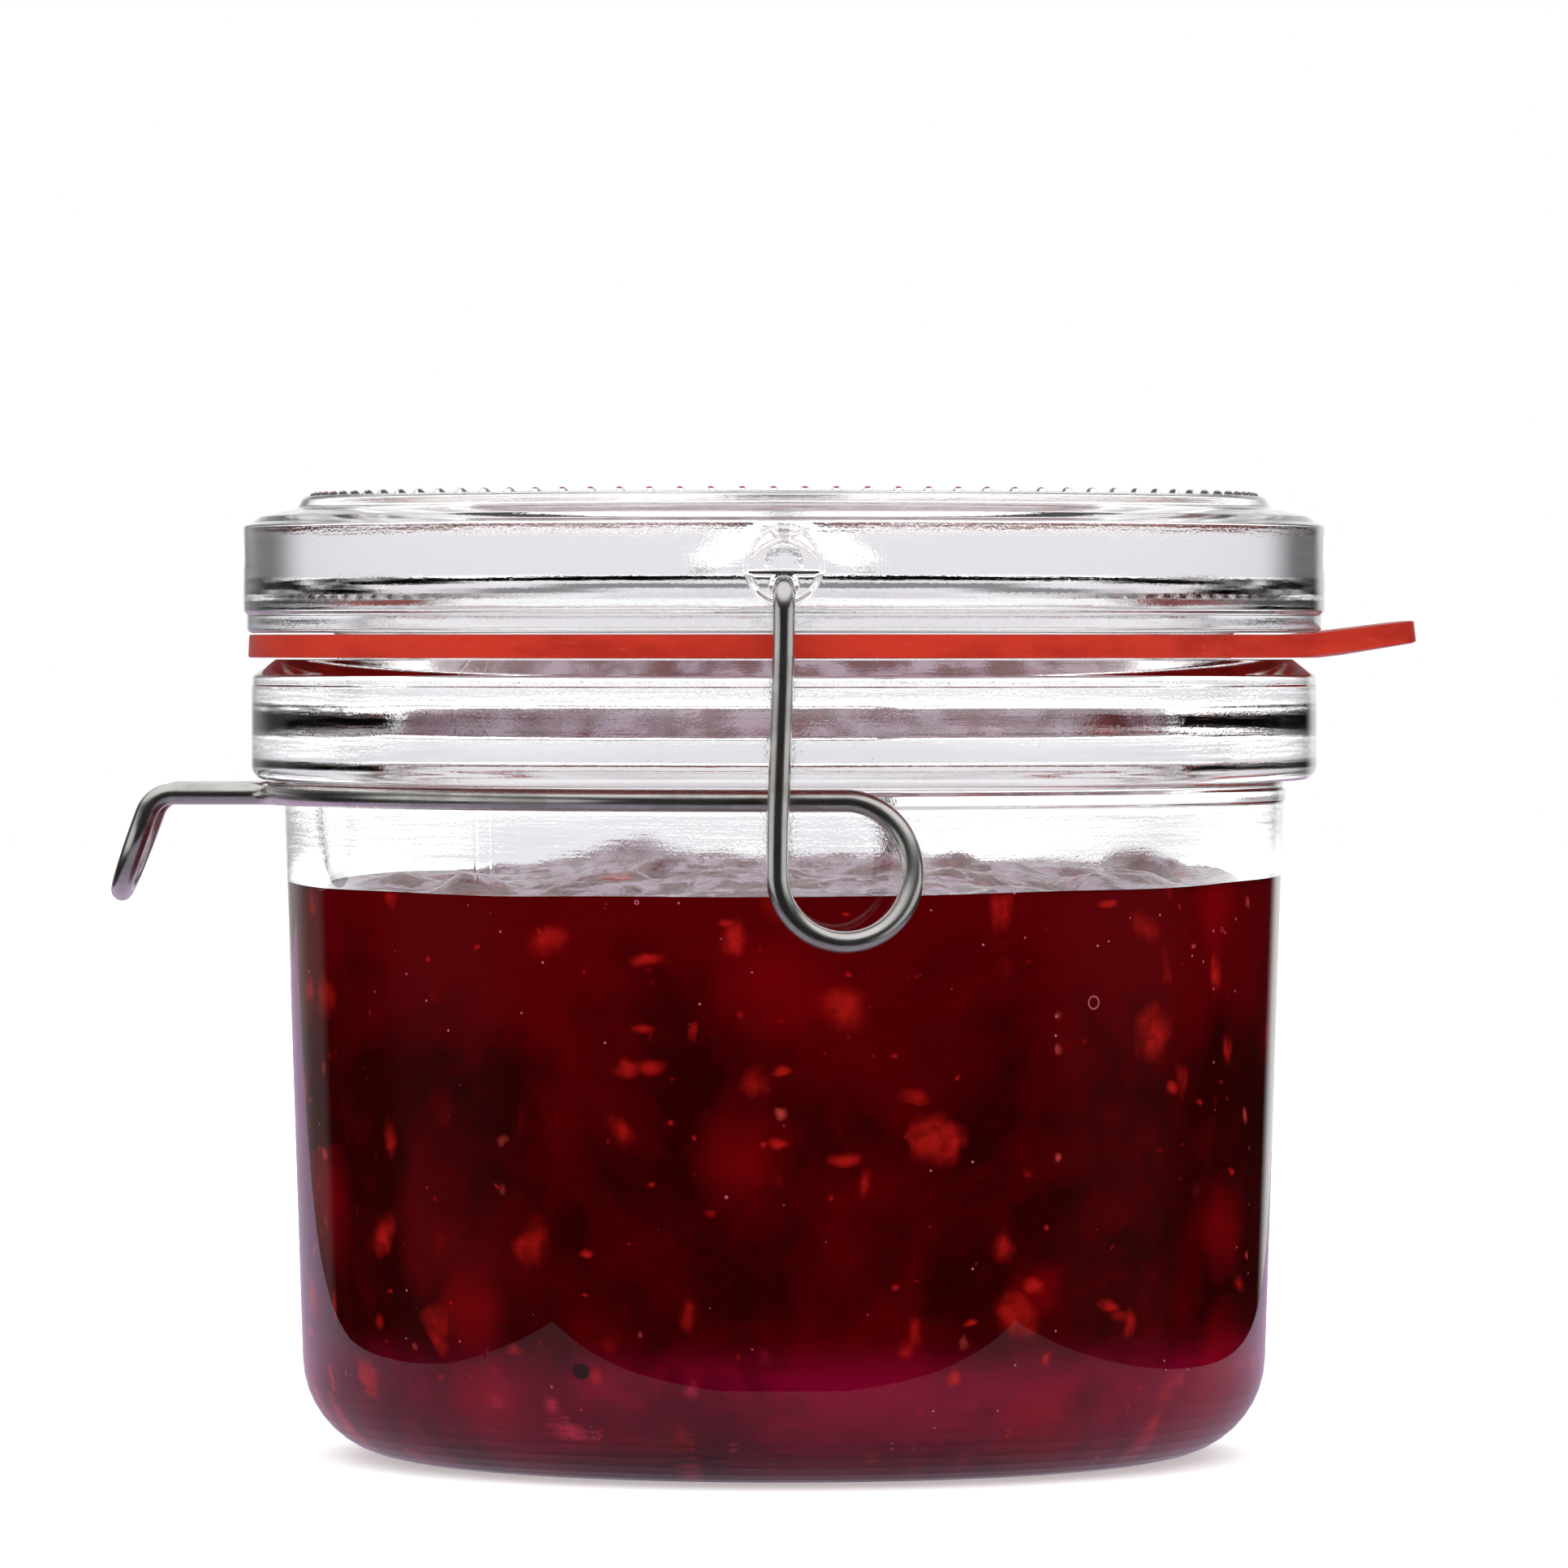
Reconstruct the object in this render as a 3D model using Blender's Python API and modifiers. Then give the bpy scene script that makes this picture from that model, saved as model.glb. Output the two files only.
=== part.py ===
"""Bail clamp jar: glass jar, rubber seal ring, glass lid, one-piece wire clip and jam.

Metres, +Z up. The origin is the centre of the jar's flat base, on the jar's own axis.
The wire's spring loops are at the front (-Y) and back (+Y), its handle points to -X,
and the seal ring's pull tab points to +X. Everything but the tab and the wire is turned
about the jar's axis.
"""

import math

import bmesh
import bpy
from mathutils import Matrix, Vector

MM = 0.001

# Clearances
REST_GAP = 0.3 * MM        # between pieces that rest on or lie against each other
PLUG_CLEAR = 1.0 * MM      # lid plug to the jar's mouth, on the radius
RING_CLEAR = 0.6 * MM      # hole of the seal ring to the lid plug, on the radius
SOCKET_CLEAR = 0.25 * MM   # lid socket to the wire, on the radius
HOOD_CLEAR = 0.3 * MM      # hood of the lid's boss to the wire under it
LEG_CLEAR = 1.4 * MM       # upright leg of the wire to the lid's wall

# Glass jar
JAR_HEIGHT = 81.3 * MM     # base to sealing rim
BODY_R = 51.2 * MM         # outside, just under the collar
BODY_TAPER = 2.0 * MM      # how much smaller the radius is at the foot
FOOT_ROUND = 10.0 * MM     # rounding of the foot
WALL = 4.2 * MM            # side wall at the mouth
FLOOR = 5.5 * MM           # thickness of the floor
COLLAR_OUT = 3.4 * MM      # collar beyond the body
COLLAR_HEIGHT = 10.6 * MM  # collar band, underside to upper edge
COLLAR_ROUND = 1.5 * MM    # rounding of the collar's lower edge
NECK_FILLET = 0.3 * MM     # fillet where the collar meets the body
RIM_RISE = 1.7 * MM        # sealing rim above the collar's upper edge
RIM_IN = 2.4 * MM          # sealing rim inside the collar, on the radius

# Jam
HEADSPACE = 23.3 * MM      # level of the jam below the jar's rim
MENISCUS = 0.6 * MM        # how far the jam climbs at the wall

# Rubber seal ring
RING_THICK = 2.1 * MM
RING_OUT = 0.3 * MM        # ring beyond the collar
TAB_REACH = 9.8 * MM       # tab beyond the ring
TAB_ROOT = 20.5 * MM       # half width of the tab where it leaves the ring
TAB_END = 9.5 * MM         # half width of the tab's end
TAB_ROUND = 4.5 * MM       # rounding of the tab's corners
TAB_RISE = math.radians(9.0)

# Glass lid
LID_OUT = 0.8 * MM         # lid wall beyond the collar
LID_WALL_HEIGHT = 10.9 * MM
LID_FOOT_HEIGHT = 1.7 * MM # narrower band at the bottom of the wall
LID_FOOT_IN = 0.35 * MM
LID_EDGE_IN = 1.8 * MM     # sloped edge at the top of the wall, inwards
LID_EDGE_RISE = 0.9 * MM   # and upwards
LID_SHOULDER_RISE = 1.8 * MM
LID_DISC_IN = 5.9 * MM     # raised disc inside the wall, on the radius
LID_DISC_RISE = 1.2 * MM   # raised disc above the shoulder
LID_BEAD_RISE = 0.5 * MM   # beaded edge above the disc
LID_BEAD_WIDTH = 1.0 * MM
LID_CEILING = 5.6 * MM     # hollow under the lid, above its seat
PLUG_DEPTH = 3.4 * MM      # plug below the lid's seat
PLUG_WALL = 2.8 * MM
BOSS_R = 3.4 * MM          # round boss whose upper part hoods the wire
BOSS_HEIGHT = 6.4 * MM     # its centre above the lid's seat
BOSS_RISE = 0.8 * MM       # boss beyond the lid wall
POCKET_DEPTH = 0.8 * MM    # open pocket under the hood, into the lid wall
POCKET_MARGIN = 0.3 * MM   # pocket wider than the boss
SOCKET_HEIGHT = 4.4 * MM   # socket axis above the lid's seat
SOCKET_DEPTH = 4.6 * MM    # socket into the lid wall

# Wire clip
WIRE_R = 1.1 * MM
PIN_LENGTH = 4.0 * MM      # end pin inside the lid wall
PIN_BEND = 2.0 * MM        # bend from the pin to the upright leg
LEG_X = -0.4 * MM          # foot of the upright leg, left of its pin
LOOP_R = 6.4 * MM          # spring loop, to the wire's centre
LOOP_DROP = 7.1 * MM       # centre of the loop below the arm
KINK_BEND = 3.0 * MM       # bend where each arm turns out into the handle
HANDLE_HALF = 7.2 * MM     # half the spacing of the handle's legs
HANDLE_REACH = 11.7 * MM   # handle corner beyond the arm's circle
HANDLE_BEND = 3.0 * MM     # bend from the handle's level part to its drop
HANDLE_DROP = 10.0 * MM
HANDLE_LEAN = math.radians(20.0)

# Facets
TURN_STEPS = 56
EDGE_STEPS = 4
LOOP_STEPS = 8             # per quarter turn
ARM_STEPS = 22

# Worked out from the sizes above
FOOT_R = BODY_R - BODY_TAPER
MOUTH_R = BODY_R - WALL
COLLAR_R = BODY_R + COLLAR_OUT
COLLAR_TOP = JAR_HEIGHT - RIM_RISE
COLLAR_LOW = COLLAR_TOP - COLLAR_HEIGHT
RIM_R = COLLAR_R - RIM_IN
FILL_Z = JAR_HEIGHT - HEADSPACE
RING_LOW = JAR_HEIGHT + REST_GAP
RING_R = COLLAR_R + RING_OUT
SEAT = RING_LOW + RING_THICK + REST_GAP
LID_R = COLLAR_R + LID_OUT
PLUG_R = MOUTH_R - PLUG_CLEAR
PLUG_HOLLOW_R = PLUG_R - PLUG_WALL
DISC_R = LID_R - LID_DISC_IN
SOCKET_Z = SEAT + SOCKET_HEIGHT
SOCKET_R = WIRE_R + SOCKET_CLEAR
HOOD_Z = SOCKET_Z + WIRE_R + HOOD_CLEAR
LEG_Y = LID_R + LEG_CLEAR + WIRE_R
ARM_Z = COLLAR_LOW - REST_GAP - WIRE_R
ARM_R = BODY_R + REST_GAP + WIRE_R


def clear_scene():
    """Remove every object that the scene starts with."""
    for obj in list(bpy.data.objects):
        bpy.data.objects.remove(obj)


def new_collection(name):
    """Make a collection in the scene."""
    group = bpy.data.collections.new(name)
    bpy.context.scene.collection.children.link(group)
    return group


def new_material(name, colour, roughness, metallic=0.0, transmission=0.0):
    """A Principled material for one sub-part."""
    mat = bpy.data.materials.new(name)
    mat.use_nodes = True
    shader = mat.node_tree.nodes["Principled BSDF"]
    shader.inputs["Base Color"].default_value = (*colour, 1.0)
    shader.inputs["Roughness"].default_value = roughness
    shader.inputs["Metallic"].default_value = metallic
    shader.inputs["Transmission Weight"].default_value = transmission
    return mat


def arc(centre, radius, start, end, steps):
    """Points on an arc in a plane, from one angle to another in degrees, ends included."""
    points = []
    for i in range(steps + 1):
        angle = math.radians(start + (end - start) * i / steps)
        points.append((centre[0] + radius * math.cos(angle), centre[1] + radius * math.sin(angle)))
    return points


def rounded_corner(before, corner, after, radius, steps):
    """Replace a corner in a plane by the arc that touches both of its edges."""
    corner = Vector(corner)
    first = (Vector(before) - corner).normalized()
    last = (Vector(after) - corner).normalized()
    half = first.angle(last) / 2
    middle = corner + (first + last).normalized() * radius / math.sin(half)
    start = corner + first * radius / math.tan(half) - middle
    turn = start.angle_signed(corner + last * radius / math.tan(half) - middle)
    points = []
    for i in range(steps + 1):
        swing = Matrix.Rotation(-turn * i / steps, 2)
        points.append(tuple(middle + swing @ start))
    return points


def mesh_object(name, bm, group, mat, origin=(0, 0, 0)):
    """Put a bmesh, made in world coordinates, into an object with its origin where it is wanted."""
    bm.transform(Matrix.Translation(-Vector(origin)))
    mesh = bpy.data.meshes.new(name)
    bm.to_mesh(mesh)
    bm.free()
    obj = bpy.data.objects.new(name, mesh)
    obj.location = origin
    group.objects.link(obj)
    if mat:
        mesh.materials.append(mat)
    return obj


def turned(name, profile, group, mat, origin_z=0.0):
    """Turn an (r, z) profile about the jar's axis; it runs up inner sides and down outer sides."""
    bm = bmesh.new()
    verts = [bm.verts.new((r, 0, z)) for r, z in profile]
    for start, end in zip(verts, verts[1:]):
        bm.edges.new((start, end))
    obj = mesh_object(name, bm, group, mat, (0, 0, origin_z))
    screw = obj.modifiers.new("turn", "SCREW")
    screw.axis = "Z"
    screw.steps = TURN_STEPS
    screw.render_steps = TURN_STEPS
    screw.use_merge_vertices = True
    screw.merge_threshold = 0.01 * MM
    screw.use_smooth_shade = True
    return obj


def cutter(name, bm, group):
    """A helper solid that is joined to or cut from a part."""
    obj = mesh_object(name, bm, group, None)
    obj.hide_render = True
    obj.display_type = "WIRE"
    return obj


def combine(obj, other, operation):
    """Join another solid to a part, or cut it away."""
    change = obj.modifiers.new(other.name, "BOOLEAN")
    change.operation = operation
    change.solver = "EXACT"
    change.object = other


def inner_wall(inset):
    """The jar's inside as an (r, z) profile from the axis up to the mouth, moved in by an inset."""
    foot = FOOT_R - WALL
    level = FLOOR + FOOT_ROUND
    points = [(0, FLOOR + inset)]
    points += arc((foot - FOOT_ROUND, level), FOOT_ROUND - inset, -90, 0, 2 * EDGE_STEPS)
    points.append((MOUTH_R - inset, COLLAR_LOW))
    return points


def make_jar(group):
    """The glass jar: rounded foot, tapered body, neck, collar and flat sealing rim."""
    profile = inner_wall(0)
    profile.append((MOUTH_R, JAR_HEIGHT - COLLAR_ROUND))
    profile.append((MOUTH_R + COLLAR_ROUND / 2, JAR_HEIGHT))
    profile.append((RIM_R - RIM_RISE / 2, JAR_HEIGHT))
    profile.append((RIM_R, JAR_HEIGHT - RIM_RISE / 4))
    profile.append((COLLAR_R - RIM_RISE / 2, COLLAR_TOP + RIM_RISE / 3))
    profile.append((COLLAR_R, COLLAR_TOP))
    round_centre = (COLLAR_R - COLLAR_ROUND, COLLAR_LOW + COLLAR_ROUND)
    profile += arc(round_centre, COLLAR_ROUND, 0, -90, EDGE_STEPS)
    profile.append((BODY_R + NECK_FILLET, COLLAR_LOW))
    profile.append((BODY_R, COLLAR_LOW - NECK_FILLET))
    profile.append((BODY_R, COLLAR_LOW - 2 * COLLAR_ROUND))
    profile += arc((FOOT_R - FOOT_ROUND, FOOT_ROUND), FOOT_ROUND, 0, -90, 2 * EDGE_STEPS)
    profile.append((0, 0))
    glass = new_material("glass", (0.93, 0.95, 0.94), 0.03, transmission=1.0)
    return turned("jar_body", profile, group, glass)


def make_jam(group):
    """The jam: it fills the jar up to its level and climbs a little at the wall."""
    wall = inner_wall(REST_GAP)
    low_r, low_z = wall[-2]
    top_r, top_z = wall[-1]
    edge = FILL_Z + MENISCUS
    edge_r = low_r + (top_r - low_r) * (edge - low_z) / (top_z - low_z)
    profile = [(0, FILL_Z)]
    profile.append((edge_r - 5 * MENISCUS, FILL_Z))
    profile.append((edge_r - 2 * MENISCUS, FILL_Z + MENISCUS / 3))
    profile.append((edge_r, edge))
    profile += reversed(wall[:-1])
    jam = new_material("jam", (0.16, 0.008, 0.012), 0.18)
    return turned("jam_fill", profile, group, jam)


def make_ring(group):
    """The flat rubber ring with its pull tab, which is bent up from just outside the lid."""
    root_x = math.sqrt(RING_R ** 2 - TAB_ROOT ** 2)
    end_x = RING_R + TAB_REACH
    bend_x = LID_R + REST_GAP
    low_end = (end_x, -TAB_END)
    high_end = (end_x, TAB_END)
    outline = rounded_corner((root_x, -TAB_ROOT), low_end, high_end, TAB_ROUND, EDGE_STEPS)
    outline += rounded_corner(low_end, high_end, (root_x, TAB_ROOT), TAB_ROUND, EDGE_STEPS)
    root_angle = math.degrees(math.atan2(TAB_ROOT, root_x))
    outline += arc((0, 0), RING_R, root_angle, 360 - root_angle, TURN_STEPS)
    hole = arc((0, 0), PLUG_R + RING_CLEAR, 0, 360, TURN_STEPS)[:-1]
    curve = bpy.data.curves.new("ring_outline", "CURVE")
    curve.dimensions = "2D"
    curve.fill_mode = "BOTH"
    curve.extrude = RING_THICK / 2
    for points in (outline, hole):
        spline = curve.splines.new("POLY")
        spline.points.add(len(points) - 1)
        for place, (x, y) in zip(spline.points, points):
            place.co = (x, y, 0, 1)
        spline.use_cyclic_u = True
    guide = bpy.data.objects.new("ring_outline", curve)
    group.objects.link(guide)
    bm = bmesh.new()
    flat = bpy.data.meshes.new_from_object(guide.evaluated_get(bpy.context.evaluated_depsgraph_get()))
    bm.from_mesh(flat)
    bpy.data.meshes.remove(flat)
    bpy.data.objects.remove(guide)
    bmesh.ops.remove_doubles(bm, verts=bm.verts, dist=0.01 * MM)
    geom = bm.verts[:] + bm.edges[:] + bm.faces[:]
    bmesh.ops.bisect_plane(bm, geom=geom, plane_co=(bend_x, 0, 0), plane_no=(1, 0, 0))
    centre_z = RING_LOW + RING_THICK / 2
    for vert in bm.verts:
        vert.co.z += centre_z + max(vert.co.x - bend_x, 0) * math.tan(TAB_RISE)
    rubber = new_material("seal_rubber", (0.80, 0.10, 0.03), 0.45)
    ring = mesh_object("seal_ring", bm, group, rubber, (0, 0, RING_LOW))
    ring.data.shade_smooth()
    ring.data.set_sharp_from_angle(angle=math.radians(40))
    return ring


def lid_profile():
    """The lid's section from the middle of its hollow, round the plug and up the wall to the top."""
    ceiling = SEAT + LID_CEILING
    wall_top = SEAT + LID_WALL_HEIGHT
    shoulder_top = wall_top + LID_SHOULDER_RISE
    disc_top = shoulder_top + LID_DISC_RISE
    foot_r = LID_R - LID_FOOT_IN
    plug_low = SEAT - PLUG_DEPTH
    under = [(0, ceiling)]
    under += arc((PLUG_HOLLOW_R - PLUG_WALL, ceiling - PLUG_WALL), PLUG_WALL, 90, 0, EDGE_STEPS)
    middle = (PLUG_R + PLUG_HOLLOW_R) / 2
    under += arc((middle, plug_low + PLUG_WALL / 2), PLUG_WALL / 2, 180, 360, 2 * EDGE_STEPS)
    under.append((PLUG_R, SEAT))
    under.append((foot_r - LID_FOOT_IN, SEAT))
    outer = [(foot_r, SEAT + LID_FOOT_IN)]
    outer.append((foot_r, SEAT + LID_FOOT_HEIGHT))
    outer.append((LID_R, SEAT + LID_FOOT_HEIGHT + LID_FOOT_IN))
    outer.append((LID_R, wall_top))
    outer.append((LID_R - LID_EDGE_IN / 3, wall_top + LID_EDGE_RISE / 2))
    outer.append((LID_R - LID_EDGE_IN, wall_top + LID_EDGE_RISE))
    outer.append((DISC_R, shoulder_top))
    outer.append((DISC_R, shoulder_top + LID_DISC_RISE / 2))
    outer.append((DISC_R - LID_DISC_RISE / 2, disc_top))
    bead_r = DISC_R - LID_DISC_RISE / 2 - LID_BEAD_WIDTH / 4
    outer.append((bead_r, disc_top + LID_BEAD_RISE))
    outer.append((bead_r - LID_BEAD_WIDTH, disc_top + LID_BEAD_RISE))
    outer.append((bead_r - LID_BEAD_WIDTH - LID_BEAD_WIDTH / 4, disc_top))
    outer.append((0, disc_top))
    return under + outer


def upright_cylinder(side, radius, low_y, high_y, z, segments):
    """A cylinder that lies front to back, on the front (-1) or back (1) of the lid."""
    bm = bmesh.new()
    place = Matrix.Translation((0, side * (low_y + high_y) / 2, z))
    turn = Matrix.Rotation(math.radians(90), 4, "X")
    bmesh.ops.create_cone(
        bm, cap_ends=True, segments=segments, radius1=radius, radius2=radius,
        depth=high_y - low_y, matrix=place @ turn)
    return bm


def make_lid(group, helpers):
    """The glass lid with its plug and beaded disc, and a hooded socket at front and back."""
    glass = new_material("lid_glass", (0.93, 0.95, 0.94), 0.03, transmission=1.0)
    lid = turned("glass_lid", lid_profile()[::-1], group, glass, SEAT)
    boss_z = SEAT + BOSS_HEIGHT
    outside = LID_R + 2 * BOSS_RISE
    for side, name in ((-1, "front"), (1, "back")):
        boss = bmesh.new()
        place = Matrix.Translation((0, side * LID_R, boss_z))
        size = Matrix.Diagonal((BOSS_R, BOSS_RISE, BOSS_R, 1))
        bmesh.ops.create_uvsphere(boss, u_segments=16, v_segments=12, radius=1, matrix=place @ size)
        combine(lid, cutter("boss_" + name, boss, helpers), "UNION")
        pocket_r = BOSS_R + POCKET_MARGIN
        pocket = upright_cylinder(side, pocket_r, LID_R - POCKET_DEPTH, outside, boss_z, 20)
        geom = pocket.verts[:] + pocket.edges[:] + pocket.faces[:]
        cut = bmesh.ops.bisect_plane(
            pocket, geom=geom, plane_co=(0, 0, HOOD_Z), plane_no=(0, 0, 1), clear_outer=True)
        rim = [edge for edge in cut["geom_cut"] if isinstance(edge, bmesh.types.BMEdge)]
        bmesh.ops.holes_fill(pocket, edges=rim)
        bmesh.ops.recalc_face_normals(pocket, faces=pocket.faces)
        combine(lid, cutter("pocket_" + name, pocket, helpers), "DIFFERENCE")
        socket = upright_cylinder(side, SOCKET_R, LID_R - SOCKET_DEPTH, outside, SOCKET_Z, 16)
        combine(lid, cutter("socket_" + name, socket, helpers), "DIFFERENCE")
    return lid


def loop_points():
    """The spring loop at the front: down its left side, under, up its right side and back to the top."""
    centre_x = LEG_X + LOOP_R
    centre_z = ARM_Z - LOOP_DROP
    arm_y = math.sqrt(ARM_R ** 2 - centre_x ** 2)
    points = []
    total = 3 * LOOP_STEPS
    for i in range(total + 1):
        angle = math.radians(180 + 90 * i / LOOP_STEPS)
        rise = LOOP_R if i <= 2 * LOOP_STEPS else LOOP_DROP
        share = (1 - math.cos(math.pi * i / total)) / 2
        x = centre_x + LOOP_R * math.cos(angle)
        z = centre_z + rise * math.sin(angle)
        points.append((x, -(LEG_Y + (arm_y - LEG_Y) * share), z))
    return points


def front_half():
    """The wire's centre line from its front pin to the corner where the handle drops."""
    pin_y = LID_R - PIN_LENGTH
    points = [(0, -pin_y, SOCKET_Z)]
    bend = arc((LEG_Y - PIN_BEND, SOCKET_Z - PIN_BEND), PIN_BEND, 90, 0, EDGE_STEPS)
    points += [(0, -y, z) for y, z in bend]
    points += loop_points()
    start = -math.degrees(math.asin((LEG_X + LOOP_R) / ARM_R))
    end = math.degrees(math.acos((HANDLE_HALF + KINK_BEND) / (ARM_R + KINK_BEND)))
    sweep = arc((0, 0), ARM_R, start, end, ARM_STEPS)[1:]
    points += [(-y, -x, ARM_Z) for x, y in sweep]
    kink_x = (ARM_R + KINK_BEND) * math.sin(math.radians(end))
    kink = arc((-kink_x, -HANDLE_HALF - KINK_BEND), KINK_BEND, 90 - end, 90, EDGE_STEPS)[1:]
    points += [(x, y, ARM_Z) for x, y in kink]
    return points


def handle_points():
    """The handle beyond the arms: two bends down and the U that joins them, in order from front to back."""
    corner_x = -(ARM_R + HANDLE_REACH)
    turn = 90 - math.degrees(HANDLE_LEAN)
    back = HANDLE_BEND * math.tan(math.radians(turn / 2))
    bend = arc((corner_x + back, ARM_Z - HANDLE_BEND), HANDLE_BEND, 90, 90 + turn, EDGE_STEPS)
    down = Vector((-math.sin(HANDLE_LEAN), 0, -math.cos(HANDLE_LEAN)))
    length = HANDLE_DROP / math.cos(HANDLE_LEAN)
    middle = Vector((corner_x, 0, ARM_Z)) + down * (length - HANDLE_HALF)
    points = [(x, -HANDLE_HALF, z) for x, z in bend]
    for across, drop in arc((0, 0), HANDLE_HALF, 180, 360, 2 * LOOP_STEPS):
        points.append(tuple(middle + Vector((0, across, 0)) - down * drop))
    points += [(x, HANDLE_HALF, z) for x, z in reversed(bend)]
    return points


def make_wire(group):
    """The one-piece wire clip: pins, upright legs, spring loops, arms under the collar and handle."""
    half = front_half()
    points = half + handle_points() + [(x, -y, z) for x, y, z in reversed(half)]
    curve = bpy.data.curves.new("wire_clip", "CURVE")
    curve.dimensions = "3D"
    curve.bevel_depth = WIRE_R
    curve.bevel_resolution = 2
    curve.use_fill_caps = True
    spline = curve.splines.new("POLY")
    spline.points.add(len(points) - 1)
    for place, (x, y, z) in zip(spline.points, points):
        place.co = (x, y, z - SOCKET_Z, 1)
    curve.materials.append(new_material("clip_steel", (0.62, 0.60, 0.57), 0.28, metallic=1.0))
    wire = bpy.data.objects.new("wire_clip", curve)
    wire.location = (0, 0, SOCKET_Z)
    group.objects.link(wire)
    return wire


def main():
    """Build the whole jar."""
    clear_scene()
    parts = new_collection("bail_clamp_jar")
    helpers = new_collection("cutters")
    make_jar(parts)
    make_jam(parts)
    make_ring(parts)
    make_lid(parts, helpers)
    make_wire(parts)


main()
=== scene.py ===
"""Looks for the bail clamp jar: pressed glass, rubber seal ring, sprung wire clip and jam.

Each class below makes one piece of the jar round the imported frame, dresses it in its finish
and lets it ride on its body. Sizes are in millimetres unless a name says otherwise; meshes are
in metres, +Z up, with the jar's base centre at the origin and its front facing -Y.
"""

import logging
import math
from dataclasses import dataclass, field
from enum import Enum
from typing import Callable, Sequence

import bmesh
import bpy
from mathutils import Matrix, Vector, noise


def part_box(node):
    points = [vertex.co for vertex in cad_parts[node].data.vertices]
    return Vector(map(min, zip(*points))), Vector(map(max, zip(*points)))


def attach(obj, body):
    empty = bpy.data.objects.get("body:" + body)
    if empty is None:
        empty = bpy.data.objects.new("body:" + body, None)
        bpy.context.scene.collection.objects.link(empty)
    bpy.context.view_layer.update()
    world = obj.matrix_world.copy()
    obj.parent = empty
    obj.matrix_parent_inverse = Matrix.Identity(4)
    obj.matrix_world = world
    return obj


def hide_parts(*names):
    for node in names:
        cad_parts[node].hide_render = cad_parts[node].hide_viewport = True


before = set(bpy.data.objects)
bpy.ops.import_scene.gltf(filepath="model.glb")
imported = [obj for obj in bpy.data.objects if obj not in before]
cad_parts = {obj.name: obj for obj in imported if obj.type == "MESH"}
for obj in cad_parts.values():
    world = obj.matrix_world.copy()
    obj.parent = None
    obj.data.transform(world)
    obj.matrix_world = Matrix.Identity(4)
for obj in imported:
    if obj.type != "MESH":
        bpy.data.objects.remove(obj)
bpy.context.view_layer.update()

MM = 0.001
LOG = logging.getLogger("clamp_jar")
MATERIALS: dict[str, bpy.types.Material] = {}
RADIAL = Vector((1, 1, 0))
TOUCHING = 0.002

Colour = tuple[float, float, float]
Route = list[tuple[float, float, float]]
Mesh = bmesh.types.BMesh
Piece = bpy.types.Object
Value = "Signal | float | Sequence[float]"


class Side(Enum):
    """The two sides of the jar that carry a spring loop."""

    FRONT = -1
    BACK = 1


class Body(Enum):
    """The moving bodies of the jar."""

    JAR = "jar"
    GASKET = "gasket"
    LID = "lid"
    CLIP = "clip"


# Shader maths


def operator(operation: str, second: bool = False) -> Callable[["Signal", Value], "Signal"]:
    """Make a method that adds a Math node with two values.

    Args:
        operation: the Math node's operation.
        second: whether the signal is the node's second value, as in 1 - signal.

    Returns:
        The method.
    """
    def method(self: "Signal", other: Value) -> "Signal":
        """Add the node and hand back its result."""
        inputs = dict(enumerate((other, self) if second else (self, other)))
        return self.bench.add("ShaderNodeMath", {"operation": operation}, inputs)
    return method


class Signal:
    """One value on its way through a node tree; Python's operators add Math nodes to it."""

    __add__ = __radd__ = operator("ADD")
    __mul__ = __rmul__ = operator("MULTIPLY")
    __sub__ = operator("SUBTRACT")
    __rsub__ = operator("SUBTRACT", second=True)
    __truediv__ = operator("DIVIDE")
    __rtruediv__ = operator("DIVIDE", second=True)

    def __init__(self, bench: "Bench", socket: bpy.types.NodeSocket) -> None:
        """Wrap an output socket.

        Args:
            bench: the tree that the socket belongs to.
            socket: the output socket.
        """
        self.bench = bench
        self.socket = socket

    def math(self, operation: str, *others: Value) -> "Signal":
        """Add a Math node with this signal first.

        Args:
            operation: the Math node's operation.
            others: the node's other values or signals.

        Returns:
            The node's result.
        """
        inputs = dict(enumerate((self, *others)))
        return self.bench.add("ShaderNodeMath", {"operation": operation}, inputs)

    def __abs__(self) -> "Signal":
        """Size without sign."""
        return self.math("ABSOLUTE")

    def step(self, low: float, high: float) -> "Signal":
        """Go smoothly from 0 at one value to 1 at another.

        Args:
            low: where the result is 0; it may be above high.
            high: where the result is 1.

        Returns:
            The smoothed step.
        """
        settings = {"interpolation_type": "SMOOTHSTEP"}
        if low > high:
            return 1 - self.step(high, low)
        return self.bench.add("ShaderNodeMapRange", settings, {"Value": self, 1: low, 2: high})

    def output(self, name: str) -> "Signal":
        """Another output of the same node."""
        return Signal(self.bench, self.socket.node.outputs[name])

    def part(self, index: int) -> "Signal":
        """One component of a vector or colour."""
        return self.bench.add("ShaderNodeSeparateXYZ", {}, {0: self}, index)


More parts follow.
